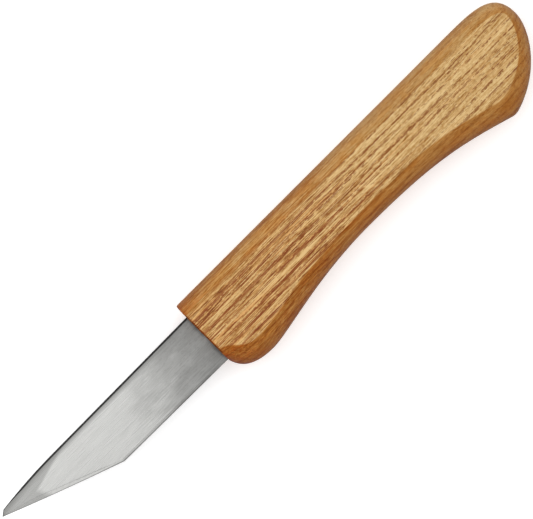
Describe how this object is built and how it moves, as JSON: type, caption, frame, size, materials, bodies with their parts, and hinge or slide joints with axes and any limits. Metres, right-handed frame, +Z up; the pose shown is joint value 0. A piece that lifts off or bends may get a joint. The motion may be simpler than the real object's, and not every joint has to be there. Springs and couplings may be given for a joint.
{
  "type": "whittling knife",
  "caption": "Fixed-blade whittling knife: short slant-nosed carving blade with a hidden tang in a flat-sided, palm-contoured wooden handle.",
  "frame": {"origin": "middle of the bounding box's lower face; the knife lies on one flat side of its handle", "axes": "+X along the length towards the butt, +Y towards the straight back and spine, +Z up out of the upper flat side"},
  "size_m": [0.1798, 0.0262, 0.018],
  "materials": {
    "blade_steel": "satin ground, with dark scale left on the spine",
    "handle_ash": "sanded and oiled",
    "cured_epoxy": "cured dark amber"
  },
  "bodies": {
    "root": {"blade": "blade_steel", "handle": "handle_ash", "tang_epoxy": "cured_epoxy"}
  },
  "joints": []
}
